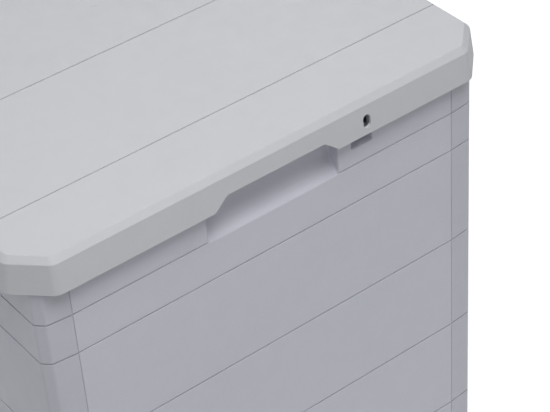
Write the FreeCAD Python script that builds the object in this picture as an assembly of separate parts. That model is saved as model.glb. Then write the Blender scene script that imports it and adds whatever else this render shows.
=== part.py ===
import FreeCAD, Part
import math
import os

# Garden storage box of moulded plank-look panels, with a hinged lid that takes a padlock.
# Millimetres. X runs along the front, Y from front to rear, Z up from the floor.
# The origin lies under the middle of the lid.

V = FreeCAD.Vector

# Overall size, over the lid
lid_width = 613.6
lid_depth = 534.0
box_height = 580.0

# Lid shell
lid_height = 41.0
lid_wall = 3.2
lid_top = 4.0
skirt_draft = 7.0
lid_edge_band = 6.5
lid_edge_radius = 1.8
lid_inner_radius = 6.0
lid_corner_leg = 38.4
lid_corner_radius = 17.0
lid_side_overhang = 18.8
lid_front_overhang = 13.0
lid_rear_overhang = 20.0
lid_seat_gap = 0.2
lid_corner_room = 0.7

# Lid ribs, which rest on the rim of the walls
rim_drop = 14.0
lid_rib = 2.4
lid_rib_count_along = 9
lid_rib_count_across = 11

# Plank grooves
groove_width = 2.2
groove_depth = 1.4
lid_first_plank = 93.0
lid_plank = 174.0
wall_top_plank = 43.5
wall_second_plank = 51.0
wall_plank = 130.0
wall_last_plank = 30.0
gate_mark_diameter = 8.0
gate_mark_depth = 0.4
gate_mark_from_front = 350.0
gate_mark_from_centre = 12.5

# Wall panels
skin = 4.0
skirt_of_wall = 6.0
corner_strip = 38.0
corner_turn = 5.5
body_corner_leg = 12.0
body_edge_radius = 6.0
rim_corner_drop = 1.0
rim_corner_lap = 12.0
panel_gap = 0.3
joint_groove_width = 1.2
joint_groove_depth = 0.5
flange = 3.0
flange_reach = 18.0
bottom_flange_reach = 20.0
rim_lip = 8.0
wall_rib = 2.4
wall_rib_depth = 6.0
front_rib_count = 8
end_rib_count = 7

# Base panel
foot_height = 12.0
base_plate = 4.0
base_gap = 0.5
base_rib = 2.4
base_rib_height = 9.0
base_rib_count_along = 8
base_rib_count_across = 10
foot_diameter = 50.0
foot_wall = 3.0
foot_inset = 45.0

# Finger pocket in the front panel and the notch above it in the lid
pocket_from_centre = 3.2
pocket_width = 172.5
pocket_depth = 16.0
pocket_floor_rise = 25.0
pocket_below_groove = 1.5
pocket_inner_radius = 3.0
pocket_mouth_radius = 2.4
notch_from_centre = 1.0
notch_bottom_width = 160.6
notch_top_width = 127.0
notch_height = 14.0
notch_upper_radius = 4.0
notch_lower_radius = 2.0
notch_wing = 30.0
notch_below = 6.0

# Padlock slot in the lid, with the recess and the bar behind it
slot_from_centre = 121.5
slot_width = 10.0
slot_height = 15.5
slot_above_skirt = 7.5
recess_from_centre = 122.8
recess_width = 28.5
recess_depth = 18.0
recess_floor_rise = 31.0
recess_below_skirt = 22.5
recess_wall_below_skirt = 6.5
recess_inner_radius = 2.0
recess_mouth_radius = 2.0
lock_bar_inset = 1.0
lock_bar_depth = 4.0
lock_bar_height = 4.5
lock_bar_below_skirt = 7.0

# Hinges
hinge_from_joint = 70.0
open_angle = 100.0
bracket_plate = 3.0
bracket_width = 48.0
bracket_drop = 43.0
bracket_rise = 10.0
bracket_corner = 4.0
knuckle_radius = 7.0
knuckle_width = 20.0
lug_width = 10.0
knuckle_side_gap = 0.3
axis_below_skirt = 8.0
axis_from_plate = 9.0
stop_gap = 0.1
stop_length = 5.0
arm_plate = 4.0
arm_width = 40.0
arm_skirt_gap = 0.8
arm_rim_gap = 0.5
arm_reach = 58.0
arm_above_axis = 9.5
arm_pocket_gap = 0.4
pin_radius = 3.0
pin_running_gap = 0.05
pin_head_radius = 5.0
pin_head = 2.0
pin_tail = 1.2
clip_thickness = 1.2
clip_radius = 5.5
clip_gap = 0.02

# Screws
screw_radius = 2.0
screw_gap = 0.05
screw_head_radius = 4.0
screw_head = 2.6
screw_head_round = 1.1
screw_tip = 1.6
cross_length = 4.4
cross_width = 1.1
cross_depth = 1.3
screw_end_gap = 0.6
screw_head_gap = 1.0
bore_lead = 0.5
boss_radius = 4.6
wall_boss = 8.0
corner_screw_count = 3
corner_screw_first = 90.0
corner_screw_last = 90.0
front_base_screw_count = 3
end_base_screw_count = 2
base_screw_from_corner = 90.0
bracket_screw_across = 28.0
bracket_screw_low = 35.0
bracket_screw_high = 18.0
arm_screw_across = 28.0
arm_screw_first = 34.0
arm_screw_second = 50.0

# How far cutters run past a face, what counts as the same place, and how gentle a corner stays unrounded
cut_margin = 1.0
hollow_margin = 12.0
same_place = 0.0001
gentle_corner = 4.0

# Worked out from the sizes above
half_lid = lid_width / 2
lid_front = -lid_depth / 2
lid_rear = lid_depth / 2
skirt_bottom = box_height - lid_height
lid_under = box_height - lid_top
draft = math.tan(math.radians(skirt_draft))
rim = box_height - rim_drop
body_front = lid_front + lid_front_overhang
body_rear = lid_rear - lid_rear_overhang
half_body = half_lid - lid_side_overhang
lid_inset_at_rim = lid_wall + draft * (rim - skirt_bottom)
cut_corner_line = half_lid - lid_front - lid_corner_leg - math.sqrt(2) * lid_inset_at_rim
rim_corner_leg = half_body - body_front - cut_corner_line + math.sqrt(2) * lid_corner_room
rim_corner_top = skirt_bottom - rim_corner_drop
joint_x = half_body - corner_strip
strip_rise = math.tan(math.radians(corner_turn))
panel_half = joint_x - panel_gap / 2
groove_a = skirt_bottom - wall_top_plank
base_top = foot_height + base_plate
flange_top = base_top + flange
slot_bottom = skirt_bottom + slot_above_skirt
bracket_face = body_rear + bracket_plate
axis_y = bracket_face + axis_from_plate
axis_z = skirt_bottom - axis_below_skirt


def box(x0, x1, y0, y1, z0, z1):
    """A block between two corners."""
    return Part.makeBox(x1 - x0, y1 - y0, z1 - z0, V(x0, y0, z0))


def rod(radius, start, end):
    """A cylinder from one point to another."""
    way = end - start
    return Part.makeCylinder(radius, way.Length, start, way)


def fuse(shapes):
    """One solid from shapes that meet."""
    return shapes[0].multiFuse(shapes[1:]).removeSplitter()


def mirrored(shape):
    """The same piece on the other side of the box."""
    return shape.mirror(V(0, 0, 0), V(1, 0, 0))


def spread(first, last, count):
    """Evenly spaced places from first to last, or the middle for one."""
    if count < 2:
        return [(first + last) / 2]
    return [first + (last - first) * i / (count - 1) for i in range(count)]


def inner_places(first, last, count):
    """Evenly spaced places between two ends, with none at the ends."""
    return [first + (last - first) * (i + 1) / (count + 1) for i in range(count)]


def rounded_wire(corners, radii, place):
    """A closed outline of straight runs, with every corner rounded by its own radius but the gentle ones."""
    starts = []
    arcs = []
    for i, corner in enumerate(corners):
        here = V(corner[0], corner[1], 0)
        back = V(*corners[i - 1], 0) - here
        ahead = V(*corners[(i + 1) % len(corners)], 0) - here
        half = back.getAngle(ahead) / 2
        if abs(half - math.pi / 2) < math.radians(gentle_corner):
            starts.append((here, here))
            arcs.append(None)
            continue
        back.normalize()
        ahead.normalize()
        inward = back + ahead
        inward.normalize()
        reach = radii[i] / math.tan(half)
        middle = here + inward * (radii[i] / math.sin(half) - radii[i])
        starts.append((here + back * reach, here + ahead * reach))
        arcs.append(middle)
    edges = []
    for i, (arrive, leave) in enumerate(starts):
        following = starts[(i + 1) % len(starts)][0]
        if arcs[i] is not None:
            points = [place(p.x, p.y) for p in (arrive, arcs[i], leave)]
            edges.append(Part.Arc(*points).toShape())
        edges.append(Part.makeLine(place(leave.x, leave.y), place(following.x, following.y)))
    return Part.Wire(edges)


def inset_corners(corners, inset):
    """The corners of a convex outline, drawn in by inset."""
    moved = []
    for i, corner in enumerate(corners):
        here = V(corner[0], corner[1], 0)
        arrive = here - V(*corners[i - 1], 0)
        leave = V(*corners[(i + 1) % len(corners)], 0) - here
        arrive.normalize()
        leave.normalize()
        inward = V(-arrive.y - leave.y, arrive.x + leave.x, 0)
        point = here + inward * (inset / (1 + arrive.dot(leave)))
        moved.append((point.x, point.y))
    return moved


def polygon_prism(corners, place, along):
    """A prism on a straight-sided outline."""
    points = [place(u, v) for u, v in corners]
    return Part.Face(Part.makePolygon(points + points[:1])).extrude(along)


def edges_at_height(shape, height):
    """The edges that lie wholly at one height."""
    spans = [(e, e.BoundBox.ZMin - height, e.BoundBox.ZMax - height) for e in shape.Edges]
    return [e for e, low, high in spans if max(abs(low), abs(high)) < same_place]


def lid_outline(inset, z):
    """The lid's plan with its cut corners, drawn in from the lower edge by inset."""
    x = half_lid - inset
    y0 = lid_front + inset
    y1 = lid_rear - inset
    leg = lid_corner_leg - (2 - math.sqrt(2)) * inset
    corners = [(-x + leg, y0), (x - leg, y0), (x, y0 + leg), (x, y1 - leg),
               (x - leg, y1), (-x + leg, y1), (-x, y1 - leg), (-x, y0 + leg)]
    radii = [lid_corner_radius - inset * math.tan(math.pi / 8)] * len(corners)
    return rounded_wire(corners, radii, lambda u, v: V(u, v, z))


def body_outline(inset, z, leg):
    """The walls' plan with its turned strips and cut corners, drawn in from the outer face by inset."""
    reach = (corner_strip - leg) / (1 - strip_rise)
    strip_x = joint_x + reach
    strip_y = reach * strip_rise
    right = [(joint_x, body_front), (strip_x, body_front + strip_y), (half_body, body_front + leg),
             (half_body, body_rear - leg), (strip_x, body_rear - strip_y), (joint_x, body_rear)]
    corners = inset_corners(right + [(-x, y) for x, y in reversed(right)], inset)
    radii = [body_edge_radius - inset] * len(corners)
    return rounded_wire(corners, radii, lambda u, v: V(u, v, z))


def body_prism(inset, z0, z1, leg=body_corner_leg):
    """The body's plan as a solid between two heights."""
    return Part.Face(body_outline(inset, z0, leg)).extrude(V(0, 0, z1 - z0))


def body_ring(z0, z1, leg):
    """The skin of the walls all round, between two heights."""
    return body_prism(0, z0, z1, leg).cut(body_prism(skin, z0 - cut_margin, z1 + cut_margin, leg))


def wall_groove_heights():
    """Heights of the plank grooves on the walls, from the top one down."""
    heights = [groove_a, groove_a - wall_second_plank]
    while heights[-1] - wall_plank > skirt_of_wall + wall_last_plank:
        heights.append(heights[-1] - wall_plank)
    return heights


def wall_groove(z):
    """A cutter for one plank groove round the whole body."""
    low = z - groove_width / 2
    high = z + groove_width / 2
    floor = body_prism(groove_depth, low - cut_margin, high + cut_margin)
    return body_prism(-cut_margin, low, high).cut(floor)


def scoop(x_middle, width, depth, rise, start_z, wall, top_z):
    """A block from the front face inwards, grown by a wall, with a floor that curves up into its back."""
    radius = (depth ** 2 + rise ** 2) / (2 * depth)
    centre_in = depth - radius
    centre_z = start_z + rise
    reach = radius + wall
    start = -math.acos(-centre_in / reach)
    low = centre_z + reach * math.sin(start)

    def place(inward, z):
        return V(x_middle - width / 2, body_front + inward, z)

    corners = [place(depth + wall, centre_z), place(depth + wall, top_z), place(-hollow_margin, top_z),
               place(-hollow_margin, low + hollow_margin / math.tan(start)), place(0, low)]
    bend = place(centre_in + reach * math.cos(start / 2), centre_z + reach * math.sin(start / 2))
    edges = [Part.makeLine(a, b) for a, b in zip(corners, corners[1:])]
    edges.append(Part.Arc(corners[-1], bend, corners[0]).toShape())
    return Part.Face(Part.Wire(edges)).extrude(V(width, 0, 0))


def hollow(x_middle, width, depth, rise, start_z, inner_radius):
    """The air of a pocket, open to the front and at the rim, with rounded inner corners."""
    air = scoop(x_middle, width, depth, rise, start_z, 0, rim + cut_margin)
    inner = [e for e in air.Edges if e.BoundBox.XLength < same_place and e.BoundBox.ZMin < rim
             and e.BoundBox.YMax > body_front - cut_margin / 2]
    return air.makeFillet(inner_radius, inner)


def hollow_shell(x_middle, width, depth, rise, start_z, top_z):
    """The wall round a pocket up to a height, as a block from which the pocket is then cut."""
    block = scoop(x_middle, width + 2 * skin, depth, rise, start_z, skin, rim)
    return block.common(box(-half_body, half_body, body_front, body_front + depth + 2 * skin, 0, top_z))


def mouth_edges(panel, x_middle, width, start_z):
    """The edges round the mouth of a pocket, in the front face."""
    found = []
    for edge in panel.Edges:
        b = edge.BoundBox
        flat = max(abs(b.YMin - body_front), abs(b.YMax - body_front)) < same_place
        beside = abs((b.XMin + b.XMax) / 2 - x_middle) < width / 2 + cut_margin
        if flat and beside and b.ZMin > start_z - cut_margin:
            found.append(edge)
    return found


def screw(seat, outward, length):
    """A pan-head screw whose head stands on seat and points outward."""
    head = Part.makeCylinder(screw_head_radius, screw_head)
    head = head.makeFillet(screw_head_round, edges_at_height(head, screw_head))
    shank = Part.makeCylinder(screw_radius, length - screw_tip, V(0, 0, screw_tip - length))
    tip = Part.makeCone(screw_radius / 2, screw_radius, screw_tip, V(0, 0, -length))
    body = fuse([head, shank, tip])
    low = screw_head - cross_depth
    arms = [box(-a, a, -b, b, low, screw_head + cut_margin)
            for a, b in ((cross_length / 2, cross_width / 2), (cross_width / 2, cross_length / 2))]
    body = body.cut(arms)
    body.Placement = FreeCAD.Placement(seat, FreeCAD.Rotation(V(0, 0, 1), outward))
    return body


def bore(seat, outward, length):
    """The hole for a screw, from a little outside its seat to its tip."""
    deep = seat - outward * (length + screw_end_gap)
    return rod(screw_radius + screw_gap, seat + outward * bore_lead, deep)


def boss(seat, outward, length):
    """The post that a screw bites into, along the way it goes in."""
    return rod(boss_radius, seat, seat - outward * length)


def corner_screw_seats(side, rear):
    """Seats of the screws of one corner joint, on the inner face of the front or rear panel's flange."""
    y = body_rear - skin - flange_reach / 2 if rear else body_front + skin + flange_reach / 2
    heights = spread(flange_top + corner_screw_first, rim - corner_screw_last, corner_screw_count)
    return [V(side * (panel_half - flange), y, z) for z in heights]


def corner_boss_seats(side, rear):
    """Where the bosses of one corner joint leave the end panel's flange."""
    reach = V(side * (2 * flange + panel_gap), 0, 0)
    return [seat + reach for seat in corner_screw_seats(side, rear)]


def corner_screw_length():
    """Length of a corner screw under its head."""
    return 2 * flange + panel_gap + wall_boss - screw_end_gap


def base_screw_seats_front(rear):
    """Seats of the screws through the base into the front or rear panel."""
    y = body_rear - skin - bottom_flange_reach / 2 if rear else body_front + skin + bottom_flange_reach / 2
    reach = joint_x - base_screw_from_corner
    return [V(x, y, foot_height) for x in spread(-reach, reach, front_base_screw_count)]


def base_screw_seats_end(side):
    """Seats of the screws through the base into one end panel."""
    x = side * (half_body - skin - bottom_flange_reach / 2)
    places = spread(body_front + base_screw_from_corner, body_rear - base_screw_from_corner,
                    end_base_screw_count)
    return [V(x, y, foot_height) for y in places]


def base_screw_length():
    """Length of a base screw under its head."""
    return base_plate + flange + wall_boss - screw_end_gap


def bottom_bosses(seats):
    """Bosses on top of a bottom flange, over the base screws."""
    return [boss(V(s.x, s.y, flange_top), V(0, 0, -1), wall_boss) for s in seats]


def base_bores(seats):
    """Holes for base screws."""
    return [bore(s, V(0, 0, -1), base_screw_length()) for s in seats]


def hinge_centres():
    """Places of the two hinges along the rear."""
    return [hinge_from_joint - joint_x, joint_x - hinge_from_joint]


def bracket_screw_seats(x_hinge):
    """Seats of the four screws of one hinge bracket."""
    return [V(x_hinge + side * bracket_screw_across / 2, bracket_face, axis_z - drop)
            for side in (-1, 1) for drop in (bracket_screw_low, bracket_screw_high)]


def bracket_screw_length():
    """Length of a bracket screw under its head."""
    return bracket_plate + skin + wall_boss - screw_end_gap


def arm_bottom():
    """Height of the underside of the hinge arms' flanges."""
    return rim + arm_rim_gap


def arm_top():
    """Height of the top of the hinge arms' flanges."""
    return arm_bottom() + arm_plate


def arm_outer():
    """The rear face of the hinge arms, just inside the lid's rear skirt."""
    return lid_rear - lid_wall - draft * (arm_top() - skirt_bottom) - arm_skirt_gap


def arm_screw_seats(x_hinge):
    """Seats of the four screws of one hinge arm, under its flange."""
    return [V(x_hinge + side * arm_screw_across / 2, arm_outer() - back, arm_bottom())
            for side in (-1, 1) for back in (arm_screw_first, arm_screw_second)]


def arm_screw_length():
    """Length of an arm screw under its head, short of the lid's top face."""
    return arm_plate + (lid_under - arm_top()) + lid_top / 2 - screw_end_gap


def flat_panel(face_y, inward):
    """Skin, bottom flange, rim lip, side flanges and ribs that the front and rear panels share."""
    def slab(x0, x1, near, far, z0, z1):
        y = sorted((face_y + inward * near, face_y + inward * far))
        return box(x0, x1, y[0], y[1], z0, z1)

    parts = [slab(-panel_half, panel_half, 0, skin, skirt_of_wall, rim),
             slab(-panel_half, panel_half, skin, skin + bottom_flange_reach, base_top, flange_top),
             slab(-panel_half, panel_half, skin, skin + rim_lip, rim - flange, rim)]
    for side in (-1, 1):
        x = sorted((side * panel_half, side * (panel_half - flange)))
        parts.append(slab(x[0], x[1], skin, skin + flange_reach, base_top, rim))
    for x in inner_places(-panel_half, panel_half, front_rib_count):
        parts.append(slab(x - wall_rib / 2, x + wall_rib / 2, skin, skin + wall_rib_depth, base_top, rim))
    return parts


def joint_grooves(face_y):
    """Cutters for the fine upright grooves at both ends of the front or rear panel."""
    half = joint_groove_width / 2
    return [box(side * joint_x - half, side * joint_x + half, face_y - joint_groove_depth,
                face_y + joint_groove_depth, 0, rim + cut_margin) for side in (-1, 1)]


def make_front_panel():
    """Front panel with the finger pocket, and the padlock recess that opens inwards above its bar."""
    seats = base_screw_seats_front(False)
    pocket = (pocket_from_centre, pocket_width, pocket_depth, pocket_floor_rise,
              groove_a - pocket_below_groove)
    recess = (recess_from_centre, recess_width, recess_depth, recess_floor_rise,
              skirt_bottom - recess_below_skirt)
    parts = flat_panel(body_front, 1) + bottom_bosses(seats)
    parts += [hollow_shell(*pocket, rim), hollow_shell(*recess, skirt_bottom - recess_wall_below_skirt)]
    panel = fuse(parts)
    for size, inner, mouth in ((pocket, pocket_inner_radius, pocket_mouth_radius),
                               (recess, recess_inner_radius, recess_mouth_radius)):
        x, width, start = size[0], size[1], size[4]
        panel = panel.cut(hollow(*size, inner))
        panel = panel.makeFillet(mouth, mouth_edges(panel, x, width, start))
    bar_x = recess_width / 2 + cut_margin
    bar_y = body_front + lock_bar_inset
    bar_z = skirt_bottom - lock_bar_below_skirt
    bar = box(recess_from_centre - bar_x, recess_from_centre + bar_x, bar_y, bar_y + lock_bar_depth,
              bar_z - lock_bar_height, bar_z)
    holes = [wall_groove(z) for z in wall_groove_heights()] + joint_grooves(body_front) + base_bores(seats)
    for side in (-1, 1):
        holes += [bore(s, V(-side, 0, 0), corner_screw_length()) for s in corner_screw_seats(side, False)]
    return fuse([panel, bar]).cut(holes)


def make_rear_panel():
    """Rear panel with the bosses that carry the hinge brackets."""
    seats = base_screw_seats_front(True)
    parts = flat_panel(body_rear, -1) + bottom_bosses(seats)
    holes = [wall_groove(z) for z in wall_groove_heights()] + joint_grooves(body_rear) + base_bores(seats)
    for x_hinge in hinge_centres():
        for s in bracket_screw_seats(x_hinge):
            parts.append(boss(V(s.x, body_rear - skin, s.z), V(0, 1, 0), wall_boss))
            holes.append(bore(s, V(0, 1, 0), bracket_screw_length()))
    for side in (-1, 1):
        holes += [bore(s, V(-side, 0, 0), corner_screw_length()) for s in corner_screw_seats(side, True)]
    return fuse(parts).cut(holes)


def make_end_panel():
    """Right end panel, which wraps round both corners."""
    near = joint_x + panel_gap / 2
    wall = body_ring(skirt_of_wall, rim_corner_top, body_corner_leg)
    top = body_ring(rim_corner_top - rim_corner_lap, rim, rim_corner_leg)
    shell = fuse([wall, top]).common(box(near, half_body, body_front, body_rear, 0, rim))
    grooves = [wall_groove(z) for z in wall_groove_heights()]
    shell = shell.cut(grooves + joint_grooves(body_front) + joint_grooves(body_rear))
    inner_x = half_body - skin
    y0 = body_front + rim_corner_leg + skin
    y1 = body_rear - rim_corner_leg - skin
    parts = [shell,
             box(inner_x - bottom_flange_reach, inner_x, y0, y1, base_top, flange_top),
             box(inner_x - rim_lip, inner_x, y0, y1, rim - flange, rim)]
    for face, way in ((body_front, 1), (body_rear, -1)):
        y = sorted((face + way * skin / 2, face + way * (skin + flange_reach)))
        parts.append(box(near, near + flange, y[0], y[1], base_top, rim))
    for y in inner_places(y0, y1, end_rib_count):
        parts.append(box(inner_x - wall_rib_depth, inner_x, y - wall_rib / 2, y + wall_rib / 2,
                         base_top, rim))
    seats = base_screw_seats_end(1)
    parts += bottom_bosses(seats)
    holes = base_bores(seats)
    for rear in (False, True):
        parts += [boss(s, V(-1, 0, 0), wall_boss) for s in corner_boss_seats(1, rear)]
        holes += [bore(s, V(-1, 0, 0), corner_screw_length()) for s in corner_screw_seats(1, rear)]
    return fuse(parts).cut(holes)


def make_foot(x, y):
    """One moulded foot: a ring with a cross inside it, open below."""
    centre = V(x, y, 0)
    top = V(x, y, foot_height)
    ring = rod(foot_diameter / 2, centre, top).cut(rod(foot_diameter / 2 - foot_wall, centre, top))
    reach = foot_diameter / 2 - foot_wall / 2
    cross = [box(x - a, x + a, y - b, y + b, 0, foot_height)
             for a, b in ((reach, foot_wall / 2), (foot_wall / 2, reach))]
    return fuse([ring] + cross)


def make_base_panel():
    """Floor of the box, with ribs and four feet below it."""
    plate = body_prism(skin + base_gap, foot_height, base_top)
    x_reach = half_body - skin - base_gap
    y0 = body_front + skin + base_gap
    y1 = body_rear - skin - base_gap
    low = foot_height - base_rib_height
    room = body_prism(skin + base_gap, low, foot_height)
    ribs = [box(-x_reach, x_reach, y - base_rib / 2, y + base_rib / 2, low, foot_height)
            for y in inner_places(y0, y1, base_rib_count_along)]
    ribs += [box(x - base_rib / 2, x + base_rib / 2, y0, y1, low, foot_height)
             for x in inner_places(-x_reach, x_reach, base_rib_count_across)]
    feet = [make_foot(sx * (half_body - foot_inset), y)
            for sx in (-1, 1) for y in (body_front + foot_inset, body_rear - foot_inset)]
    seats = base_screw_seats_front(False) + base_screw_seats_front(True)
    seats += base_screw_seats_end(-1) + base_screw_seats_end(1)
    head_room = [rod(screw_head_radius + screw_head_gap, V(s.x, s.y, -cut_margin), s) for s in seats]
    lattice = fuse(ribs).common(room)
    return fuse([plate, lattice] + feet).cut(head_room + base_bores(seats))


def lid_shell():
    """The lid's outer form less the air inside it."""
    band_z = box_height - lid_edge_band
    band_inset = draft * (lid_height - lid_edge_band)
    skirt = Part.makeLoft([lid_outline(0, skirt_bottom), lid_outline(band_inset, band_z)], True, True)
    top = [lid_outline(band_inset, band_z), lid_outline(band_inset + lid_edge_band, box_height)]
    outer = skirt.fuse(Part.makeLoft(top, True, True)).removeSplitter()
    edges = edges_at_height(outer, band_z) + edges_at_height(outer, box_height)
    outer = outer.makeFillet(lid_edge_radius, edges)
    under_inset = lid_wall + draft * (lid_under - skirt_bottom)
    below = 5.0
    wires = [lid_outline(lid_wall - draft * below, skirt_bottom - below), lid_outline(under_inset, lid_under)]
    inner = Part.makeLoft(wires, True, True)
    inner = inner.makeFillet(lid_inner_radius, edges_at_height(inner, lid_under))
    return outer, inner


def lid_notch():
    """Cutter for the notch over the finger pocket."""
    low = notch_bottom_width / 2
    high = notch_top_width / 2
    side = low + notch_wing
    corners = [(-side, -notch_below), (-side, 0.0), (-low, 0.0), (-high, notch_height),
               (high, notch_height), (low, 0.0), (side, 0.0), (side, -notch_below)]
    radii = [notch_upper_radius if v > 0 else notch_lower_radius for u, v in corners]
    front = lid_front - cut_margin
    wire = rounded_wire(corners, radii, lambda u, v: V(notch_from_centre + u, front, skirt_bottom + v))
    return Part.Face(wire).extrude(V(0, lid_front_overhang, 0))


def lock_slot():
    """Cutter for the upright slot that a padlock goes through."""
    radius = slot_width / 2
    y0 = lid_front - cut_margin
    y1 = lid_front + lid_front_overhang - cut_margin
    low = slot_bottom + radius
    high = slot_bottom + slot_height - radius
    x = slot_from_centre
    ends = [rod(radius, V(x, y0, z), V(x, y1, z)) for z in (low, high)]
    return fuse([box(x - radius, x + radius, y0, y1, low, high)] + ends)


def lid_ribs(inner):
    """The ribs below the lid's top, kept off the hinge arms."""
    low = rim + lid_seat_gap
    y0 = lid_front + lid_wall
    y1 = lid_rear - lid_wall
    ribs = [box(-half_lid, half_lid, y - lid_rib / 2, y + lid_rib / 2, low, lid_under)
            for y in inner_places(y0, y1, lid_rib_count_along)]
    ribs += [box(x - lid_rib / 2, x + lid_rib / 2, lid_front, lid_rear, low, lid_under)
             for x in inner_places(-half_lid + lid_wall, half_lid - lid_wall,
                                   lid_rib_count_across)]
    room = [box(x - arm_width / 2 - arm_pocket_gap, x + arm_width / 2 + arm_pocket_gap,
                arm_outer() - arm_reach - arm_pocket_gap, lid_rear, low - cut_margin, arm_top())
            for x in hinge_centres()]
    return fuse(ribs).common(inner).cut(room)


def make_lid():
    """Lid with its skirt, plank grooves, notch, padlock slot and ribs."""
    outer, inner = lid_shell()
    shell = outer.cut(inner)
    grooves = []
    y = lid_front + lid_first_plank
    while y < lid_rear - lid_first_plank / 2:
        grooves.append(box(-half_lid, half_lid, y - groove_width / 2, y + groove_width / 2,
                           box_height - groove_depth, box_height + cut_margin))
        y += lid_plank
    mark_foot = V(gate_mark_from_centre, lid_front + gate_mark_from_front, box_height - gate_mark_depth)
    mark = rod(gate_mark_diameter / 2, mark_foot, mark_foot + V(0, 0, gate_mark_depth + cut_margin))
    bosses = []
    holes = []
    for x_hinge in hinge_centres():
        for s in arm_screw_seats(x_hinge):
            bosses.append(rod(boss_radius, V(s.x, s.y, arm_top()), V(s.x, s.y, lid_under)))
            holes.append(bore(s, V(0, 0, -1), arm_screw_length()))
    lid = fuse([shell, lid_ribs(inner)] + bosses)
    return lid.cut(grooves + [mark, lid_notch(), lock_slot()] + holes)


def make_hinge_bracket(x_hinge):
    """Plate on the rear panel with two lugs for the hinge pin."""
    half = bracket_width / 2
    corners = [(x_hinge - half, axis_z - bracket_drop), (x_hinge + half, axis_z - bracket_drop),
               (x_hinge + half, axis_z + bracket_rise), (x_hinge - half, axis_z + bracket_rise)]
    outline = rounded_wire(corners, [bracket_corner] * len(corners), lambda u, v: V(u, body_rear, v))
    parts = [Part.Face(outline).extrude(V(0, bracket_plate, 0))]
    for side in (-1, 1):
        x0 = x_hinge + side * (knuckle_width / 2 + knuckle_side_gap)
        x1 = x0 + side * lug_width
        x = sorted((x0, x1))
        parts.append(box(x[0], x[1], body_rear + bracket_plate / 2, axis_y,
                         axis_z - knuckle_radius, axis_z + knuckle_radius))
        parts.append(rod(knuckle_radius, V(x[0], axis_y, axis_z), V(x[1], axis_y, axis_z)))
    ends = (V(x_hinge - half - cut_margin, axis_y, axis_z), V(x_hinge + half + cut_margin, axis_y, axis_z))
    hole = rod(pin_radius + pin_running_gap, *ends)
    holes = [bore(s, V(0, 1, 0), bracket_screw_length()) for s in bracket_screw_seats(x_hinge)]
    return fuse(parts).cut([hole] + holes)


def stop_heel(x0):
    """The heel on a hinge arm's knuckle that meets the bracket's plate when the lid is open."""
    turn = math.radians(180 + open_angle)
    distance = axis_from_plate - stop_gap
    foot = (distance * math.cos(turn), distance * math.sin(turn))
    along = (-math.sin(turn), math.cos(turn))
    tip = (foot[0] + along[0] * stop_length, foot[1] + along[1] * stop_length)
    corners = [(0, 0), foot, tip, (knuckle_radius, 0)]
    return polygon_prism(corners, lambda u, v: V(x0, axis_y + u, axis_z + v), V(knuckle_width, 0, 0))


def make_hinge_arm(x_hinge):
    """Angle under the lid that ends in the middle knuckle of the hinge."""
    outer = arm_outer()
    half = arm_width / 2
    x0 = x_hinge - knuckle_width / 2
    x1 = x_hinge + knuckle_width / 2
    parts = [box(x_hinge - half, x_hinge + half, outer - arm_reach, outer, arm_bottom(), arm_top()),
             box(x_hinge - half, x_hinge + half, outer - arm_plate, outer,
                 axis_z + arm_above_axis, arm_top()),
             box(x0, x1, outer - arm_plate, outer, axis_z, arm_top()),
             rod(knuckle_radius, V(x0, axis_y, axis_z), V(x1, axis_y, axis_z)),
             stop_heel(x0)]
    ends = (V(x0 - cut_margin, axis_y, axis_z), V(x1 + cut_margin, axis_y, axis_z))
    hole = rod(pin_radius + pin_running_gap, *ends)
    holes = [bore(s, V(0, 0, -1), arm_screw_length()) for s in arm_screw_seats(x_hinge)]
    return fuse(parts).cut([hole] + holes)


def pin_half():
    """Half the length over both lugs of a hinge."""
    return knuckle_width / 2 + knuckle_side_gap + lug_width


def make_hinge_pin(x_hinge):
    """Steel pin with a head at its left end."""
    left = x_hinge - pin_half()
    right = x_hinge + pin_half() + clip_thickness + pin_tail
    head = rod(pin_head_radius, V(left - pin_head, axis_y, axis_z), V(left, axis_y, axis_z))
    shank = rod(pin_radius, V(left, axis_y, axis_z), V(right, axis_y, axis_z))
    return fuse([head, shank])


def make_pin_clip(x_hinge):
    """Push-on ring that keeps a hinge pin in its lugs."""
    left = x_hinge + pin_half()
    ends = (V(left, axis_y, axis_z), V(left + clip_thickness, axis_y, axis_z))
    return rod(clip_radius, *ends).cut(rod(pin_radius + clip_gap, *ends))


def screws(seats, outward, length):
    """A group of like screws."""
    return Part.makeCompound([screw(s, outward, length) for s in seats])


def write(name, shape):
    """Keeps one piece as its own file."""
    if not shape.isValid():
        raise ValueError(name + " is not a sound solid")
    shape.exportStep(os.path.join("parts", name + ".step"))


def main():
    os.makedirs("parts", exist_ok=True)
    end_panel = make_end_panel()
    write("base_panel", make_base_panel())
    write("front_panel", make_front_panel())
    write("rear_panel", make_rear_panel())
    write("right_end_panel", end_panel)
    write("left_end_panel", mirrored(end_panel))
    write("lid", make_lid())
    for side, x_hinge in zip(("left", "right"), hinge_centres()):
        write(side + "_hinge_bracket", make_hinge_bracket(x_hinge))
        write(side + "_hinge_arm", make_hinge_arm(x_hinge))
        write(side + "_hinge_pin", make_hinge_pin(x_hinge))
        write(side + "_hinge_pin_clip", make_pin_clip(x_hinge))
        seats = bracket_screw_seats(x_hinge)
        write(side + "_bracket_screws", screws(seats, V(0, 1, 0), bracket_screw_length()))
        seats = arm_screw_seats(x_hinge)
        write(side + "_arm_screws", screws(seats, V(0, 0, -1), arm_screw_length()))
    for side, way in (("left", -1), ("right", 1)):
        for end, rear in (("front", False), ("rear", True)):
            seats = corner_screw_seats(way, rear)
            write(end + "_" + side + "_corner_screws", screws(seats, V(-way, 0, 0), corner_screw_length()))
    seats = base_screw_seats_front(False) + base_screw_seats_front(True)
    seats += base_screw_seats_end(-1) + base_screw_seats_end(1)
    write("base_screws", screws(seats, V(0, 0, -1), base_screw_length()))


main()
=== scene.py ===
import math

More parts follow.
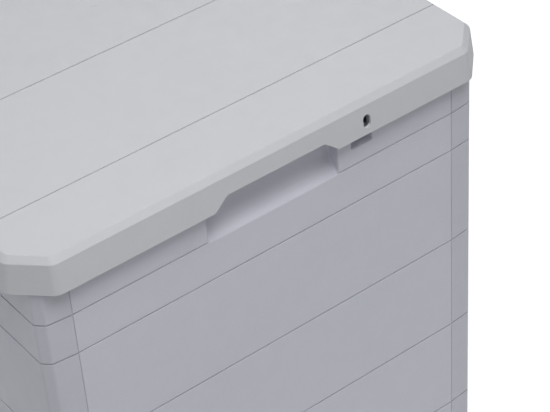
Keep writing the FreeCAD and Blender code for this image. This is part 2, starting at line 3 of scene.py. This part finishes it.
import bpy
from mathutils import Matrix, Vector

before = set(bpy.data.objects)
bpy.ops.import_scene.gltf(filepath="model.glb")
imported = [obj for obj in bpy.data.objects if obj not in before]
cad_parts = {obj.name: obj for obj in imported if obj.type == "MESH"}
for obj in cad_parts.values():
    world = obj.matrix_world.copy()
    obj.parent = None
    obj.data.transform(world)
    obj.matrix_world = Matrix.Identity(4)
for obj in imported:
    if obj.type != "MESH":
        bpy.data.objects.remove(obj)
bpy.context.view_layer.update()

# Camera: where it stands in metres, how it is turned in degrees, and how far it sees
EYE = Vector((-0.9179, -1.5503, 1.7576))
HEADING = 35.4
PITCH_DOWN = 38.4
ROLL = -4.18
FOCAL_PIXELS = 1945.2
PHOTO_WIDTH = 550
SENSOR = 36.0
NEAREST = 0.05
FARTHEST = 50

# Colours, linear
WALL_COLOUR = (0.636, 0.645, 0.714)
LID_COLOUR = (0.592, 0.600, 0.628)
BASE_COLOUR = (0.520, 0.528, 0.555)
HINGE_COLOUR = (0.330, 0.338, 0.360)
ZINC_COLOUR = (0.62, 0.62, 0.60)
FLOOR_COLOUR = (0.90, 0.90, 0.90)
SKY_COLOUR = (0.97, 0.98, 1.0, 1)
WHITE = (1, 1, 1, 1)
# Painted shade: the end panels take the wall colour times this, a darker copy that stands in for the shade
# on the box's ends
END_PANEL_PAINTED_SHADE = 0.92

# Each plastic's finish: least and greatest roughness, and the strength of its grain
WALL_FINISH = (0.50, 0.62, 0.35)
LID_FINISH = (0.48, 0.60, 0.35)
BASE_FINISH = (0.45, 0.55, 0.20)
HINGE_FINISH = (0.36, 0.46, 0.15)
PLASTIC_IOR = 1.49
PLASTIC_SPECULAR = 0.45

# Noises: scale, detail and roughness
CLOUDS = (3.5, 3.0, 0.55)
MOTTLE = (42.0, 3.0, 0.6)
SPECKLE = (1400.0, 1.0, 0.5)
SHEEN = (60.0, 4.0, 0.5)
GRAIN = (1900.0, 2.0, 0.6)
ZINC_BLOOM = (260.0, 3.0, 0.5)
DRAWN_LINES = (2600.0, 2.0, 0.5)
FLOOR_CLOUDS = (4.0, 4.0, 0.5)
NOISE_LOW = 0.3
NOISE_HIGH = 0.7

# How the noises change a surface: least and greatest shade, and heights in metres
CLOUD_SHADES = (0.985, 1.015)
MOTTLE_SHADES = (0.990, 1.010)
SPECKLE_SHADES = (0.975, 1.025)
BLOOM_SHADES = (0.88, 1.06)
FLOOR_SHADES = (0.99, 1.01)
GRAIN_HEIGHT = 0.00008
ZINC_ROUGHNESS = (0.26, 0.42)
LINE_STRETCH = (0.05, 1.0, 1.0)
LINE_STRENGTH = 0.15
LINE_HEIGHT = 0.00002

# Floor: half its width in metres, its roughness, and the glow that the camera sees on it
FLOOR_REACH = 14.0
FLOOR_ROUGHNESS = 0.8
FLOOR_SEEN = 0.52

# Light: the sky's strength, where the soft boxes point, how far off they hang and how wide they are
SKY = 0.14
AIM = Vector((0, -0.15, 0.5))
LAMP_DISTANCE = 2.6
LAMP_SIZE = 1.2
# Each soft box: degrees above the floor and to the left of the front, and watts
LAMPS = (("overhead", 75, 30, 7.5),
         ("front_left", 62, 30, 25),
         ("front_right", 62, -20, 17.5),
         ("rear_left", 25, 145, 8),
         ("rear_right", 25, -145, 8))

# Rounded edges: radii in metres, and the angles in degrees that count as flat and as an edge
PANEL_ROUND = 0.0005
HINGE_ROUND = 0.0006
SCREW_ROUND = 0.0002
SAME_POINT = 0.00001
FLAT_ANGLE = 0.3
EDGE_ANGLE = 32
AREA_WEIGHT = 100


def node_tree(name):
    """A new material with an empty tree, and its output."""
    material = bpy.data.materials.new(name)
    material.use_nodes = True
    tree = material.node_tree
    tree.nodes.clear()
    output = tree.nodes.new("ShaderNodeOutputMaterial")
    return material, tree, output


def noise(tree, place, kind):
    """A noise texture over a piece's own coordinates."""
    node = tree.nodes.new("ShaderNodeTexNoise")
    for socket, value in zip(("Scale", "Detail", "Roughness"), kind):
        node.inputs[socket].default_value = value
    tree.links.new(place, node.inputs["Vector"])
    return node.outputs["Fac"]


def remap(tree, value, low, high):
    """Stretches a noise's middle range onto low to high."""
    node = tree.nodes.new("ShaderNodeMapRange")
    node.inputs["From Min"].default_value = NOISE_LOW
    node.inputs["From Max"].default_value = NOISE_HIGH
    node.inputs["To Min"].default_value = low
    node.inputs["To Max"].default_value = high
    tree.links.new(value, node.inputs["Value"])
    return node.outputs["Result"]


def combined(tree, operation, first, second):
    """One value from two, by the named operation."""
    node = tree.nodes.new("ShaderNodeMath")
    node.operation = operation
    tree.links.new(first, node.inputs[0])
    tree.links.new(second, node.inputs[1])
    return node.outputs["Value"]


def tinted(tree, colour, factor):
    """A colour made lighter or darker by a value."""
    node = tree.nodes.new("ShaderNodeVectorMath")
    node.operation = "SCALE"
    node.inputs[0].default_value = colour
    tree.links.new(factor, node.inputs["Scale"])
    return node.outputs["Vector"]


def bumped(tree, height, strength, distance):
    """A normal raised by a height texture."""
    node = tree.nodes.new("ShaderNodeBump")
    node.inputs["Strength"].default_value = strength
    node.inputs["Distance"].default_value = distance
    tree.links.new(height, node.inputs["Height"])
    return node.outputs["Normal"]


def moulded_plastic(name, colour, finish):
    """Matt polypropylene: spark-eroded grain, faint flow clouds and a slightly uneven sheen."""
    rough_low, rough_high, grain_strength = finish
    material, tree, output = node_tree(name)
    place = tree.nodes.new("ShaderNodeTexCoord").outputs["Object"]
    clouds = remap(tree, noise(tree, place, CLOUDS), *CLOUD_SHADES)
    mottle = remap(tree, noise(tree, place, MOTTLE), *MOTTLE_SHADES)
    speckle = remap(tree, noise(tree, place, SPECKLE), *SPECKLE_SHADES)
    shade = combined(tree, "MULTIPLY", combined(tree, "MULTIPLY", clouds, mottle), speckle)
    shader = tree.nodes.new("ShaderNodeBsdfPrincipled")
    tree.links.new(tinted(tree, colour, shade), shader.inputs["Base Color"])
    tree.links.new(remap(tree, noise(tree, place, SHEEN), rough_low, rough_high), shader.inputs["Roughness"])
    grain = noise(tree, place, GRAIN)
    tree.links.new(bumped(tree, grain, grain_strength, GRAIN_HEIGHT), shader.inputs["Normal"])
    shader.inputs["IOR"].default_value = PLASTIC_IOR
    shader.inputs["Specular IOR Level"].default_value = PLASTIC_SPECULAR
    tree.links.new(shader.outputs["BSDF"], output.inputs["Surface"])
    return material


def zinc_plated(name, colour):
    """Bright zinc on steel, with fine drawn lines and a faint bloom."""
    material, tree, output = node_tree(name)
    place = tree.nodes.new("ShaderNodeTexCoord").outputs["Object"]
    stretch = tree.nodes.new("ShaderNodeMapping")
    stretch.inputs["Scale"].default_value = LINE_STRETCH
    tree.links.new(place, stretch.inputs["Vector"])
    bloom = remap(tree, noise(tree, place, ZINC_BLOOM), *BLOOM_SHADES)
    shader = tree.nodes.new("ShaderNodeBsdfPrincipled")
    shader.inputs["Metallic"].default_value = 1.0
    tree.links.new(tinted(tree, colour, bloom), shader.inputs["Base Color"])
    lines = noise(tree, stretch.outputs["Vector"], DRAWN_LINES)
    tree.links.new(remap(tree, lines, *ZINC_ROUGHNESS), shader.inputs["Roughness"])
    tree.links.new(bumped(tree, lines, LINE_STRENGTH, LINE_HEIGHT), shader.inputs["Normal"])
    tree.links.new(shader.outputs["BSDF"], output.inputs["Surface"])
    return material


def soften(piece, width, segments):
    """Rounds a CAD node's edges with modifiers and leaves its mesh as it is."""
    weld = piece.modifiers.new("weld", "WELD")
    weld.merge_threshold = SAME_POINT
    flat = piece.modifiers.new("flat", "DECIMATE")
    flat.decimate_type = "DISSOLVE"
    flat.angle_limit = math.radians(FLAT_ANGLE)
    bevel = piece.modifiers.new("bevel", "BEVEL")
    bevel.width = width
    bevel.segments = segments
    bevel.limit_method = "ANGLE"
    bevel.angle_limit = math.radians(EDGE_ANGLE)
    bevel.harden_normals = False
    normals = piece.modifiers.new("normals", "WEIGHTED_NORMAL")
    normals.keep_sharp = False
    normals.weight = AREA_WEIGHT


def finish_node(name, material, width, segments):
    """Gives a CAD node its material and its rounded edges."""
    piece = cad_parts[name]
    piece.data.materials.clear()
    piece.data.materials.append(material)
    for face in piece.data.polygons:
        face.use_smooth = True
    soften(piece, width, segments)


def dress_nodes():
    """Materials and roundings of every CAD node."""
    wall = moulded_plastic("wall_plastic", WALL_COLOUR, WALL_FINISH)
    # Painted shade: the end panels get a darker copy of the wall plastic, standing in for the shade on the
    # ends
    painted_shade_end_colour = [c * END_PANEL_PAINTED_SHADE for c in WALL_COLOUR]
    painted_shade_end_wall = moulded_plastic("end_wall_plastic_painted_shade", painted_shade_end_colour, WALL_FINISH)
    lid = moulded_plastic("lid_plastic", LID_COLOUR, LID_FINISH)
    base = moulded_plastic("base_plastic", BASE_COLOUR, BASE_FINISH)
    hinge = moulded_plastic("hinge_plastic", HINGE_COLOUR, HINGE_FINISH)
    zinc = zinc_plated("zinc_steel", ZINC_COLOUR)
    for name in ("front_panel", "rear_panel"):
        finish_node(name, wall, PANEL_ROUND, 3)
    for name in ("left_end_panel", "right_end_panel"):
        finish_node(name, painted_shade_end_wall, PANEL_ROUND, 3)
    finish_node("lid", lid, PANEL_ROUND, 3)
    finish_node("base_panel", base, PANEL_ROUND, 2)
    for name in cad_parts:
        if "screws" in name or "pin" in name:
            finish_node(name, zinc, SCREW_ROUND, 2)
        elif "hinge" in name:
            finish_node(name, hinge, HINGE_ROUND, 3)


def seen_white(tree):
    """1 for the rays that should meet a white background: camera, mirror and glass rays."""
    path = tree.nodes.new("ShaderNodeLightPath").outputs
    direct = combined(tree, "MAXIMUM", path["Is Camera Ray"], path["Is Glossy Ray"])
    return combined(tree, "MAXIMUM", direct, path["Is Transmission Ray"])


def make_floor():
    """A wide pale floor under the feet, which keeps the shadow and looks white."""
    mesh = bpy.data.meshes.new("floor")
    reach = FLOOR_REACH
    corners = [(-reach, -reach, 0), (reach, -reach, 0), (reach, reach, 0), (-reach, reach, 0)]
    mesh.from_pydata(corners, [], [(0, 1, 2, 3)])
    floor = bpy.data.objects.new("floor", mesh)
    bpy.context.scene.collection.objects.link(floor)
    material, tree, output = node_tree("floor")
    place = tree.nodes.new("ShaderNodeTexCoord").outputs["Object"]
    shader = tree.nodes.new("ShaderNodeBsdfPrincipled")
    shade = remap(tree, noise(tree, place, FLOOR_CLOUDS), *FLOOR_SHADES)
    tree.links.new(tinted(tree, FLOOR_COLOUR, shade), shader.inputs["Base Color"])
    shader.inputs["Roughness"].default_value = FLOOR_ROUGHNESS
    glow = tree.nodes.new("ShaderNodeEmission")
    glow.inputs["Color"].default_value = WHITE
    seen = tree.nodes.new("ShaderNodeMath")
    seen.operation = "MULTIPLY"
    seen.inputs[1].default_value = FLOOR_SEEN
    tree.links.new(seen_white(tree), seen.inputs[0])
    tree.links.new(seen.outputs["Value"], glow.inputs["Strength"])
    both = tree.nodes.new("ShaderNodeAddShader")
    tree.links.new(shader.outputs["BSDF"], both.inputs[0])
    tree.links.new(glow.outputs["Emission"], both.inputs[1])
    tree.links.new(both.outputs["Shader"], output.inputs["Surface"])
    mesh.materials.append(material)


def make_world():
    """Soft even light, with a white background where the camera sees it."""
    world = bpy.data.worlds.new("studio")
    bpy.context.scene.world = world
    world.use_nodes = True
    tree = world.node_tree
    tree.nodes.clear()
    output = tree.nodes.new("ShaderNodeOutputWorld")
    fill = tree.nodes.new("ShaderNodeBackground")
    fill.inputs["Color"].default_value = SKY_COLOUR
    fill.inputs["Strength"].default_value = SKY
    white = tree.nodes.new("ShaderNodeBackground")
    white.inputs["Color"].default_value = WHITE
    white.inputs["Strength"].default_value = 1.0
    mix = tree.nodes.new("ShaderNodeMixShader")
    tree.links.new(seen_white(tree), mix.inputs["Fac"])
    tree.links.new(fill.outputs["Background"], mix.inputs[1])
    tree.links.new(white.outputs["Background"], mix.inputs[2])
    tree.links.new(mix.outputs["Shader"], output.inputs["Surface"])


def pointing(heading, down):
    """The direction of a heading from straight behind towards the right, and of degrees below level."""
    heading = math.radians(heading)
    down = math.radians(down)
    return Vector((math.sin(heading) * math.cos(down), math.cos(heading) * math.cos(down), -math.sin(down)))


def make_lamp(name, height, turn, watts):
    """A square soft box that hangs so many degrees above the floor and to the left of the front."""
    lamp = bpy.data.lights.new(name, "AREA")
    lamp.shape = "SQUARE"
    lamp.size = LAMP_SIZE
    lamp.energy = watts
    holder = bpy.data.objects.new(name, lamp)
    way = pointing(turn, height)
    holder.location = AIM - way * LAMP_DISTANCE
    holder.rotation_euler = way.to_track_quat("-Z", "Y").to_euler()
    holder.visible_camera = False
    bpy.context.scene.collection.objects.link(holder)


def make_camera():
    """The photograph's camera, from its heading, pitch and roll."""
    forward = pointing(HEADING, PITCH_DOWN)
    level = pointing(HEADING + 90, 0)
    rise = level.cross(forward)
    roll = math.radians(ROLL)
    right = level * math.cos(roll) + rise * math.sin(roll)
    up = rise * math.cos(roll) - level * math.sin(roll)
    data = bpy.data.cameras.new("camera")
    data.sensor_width = SENSOR
    data.lens = FOCAL_PIXELS * SENSOR / PHOTO_WIDTH
    data.clip_start = NEAREST
    data.clip_end = FARTHEST
    camera = bpy.data.objects.new("camera", data)
    turn = Matrix((right, up, -forward)).transposed().to_4x4()
    camera.matrix_world = Matrix.Translation(EYE) @ turn
    bpy.context.scene.collection.objects.link(camera)
    bpy.context.scene.camera = camera


dress_nodes()
make_floor()
make_world()
for lamp_settings in LAMPS:
    make_lamp(*lamp_settings)
make_camera()
bpy.context.scene.view_settings.view_transform = "Standard"
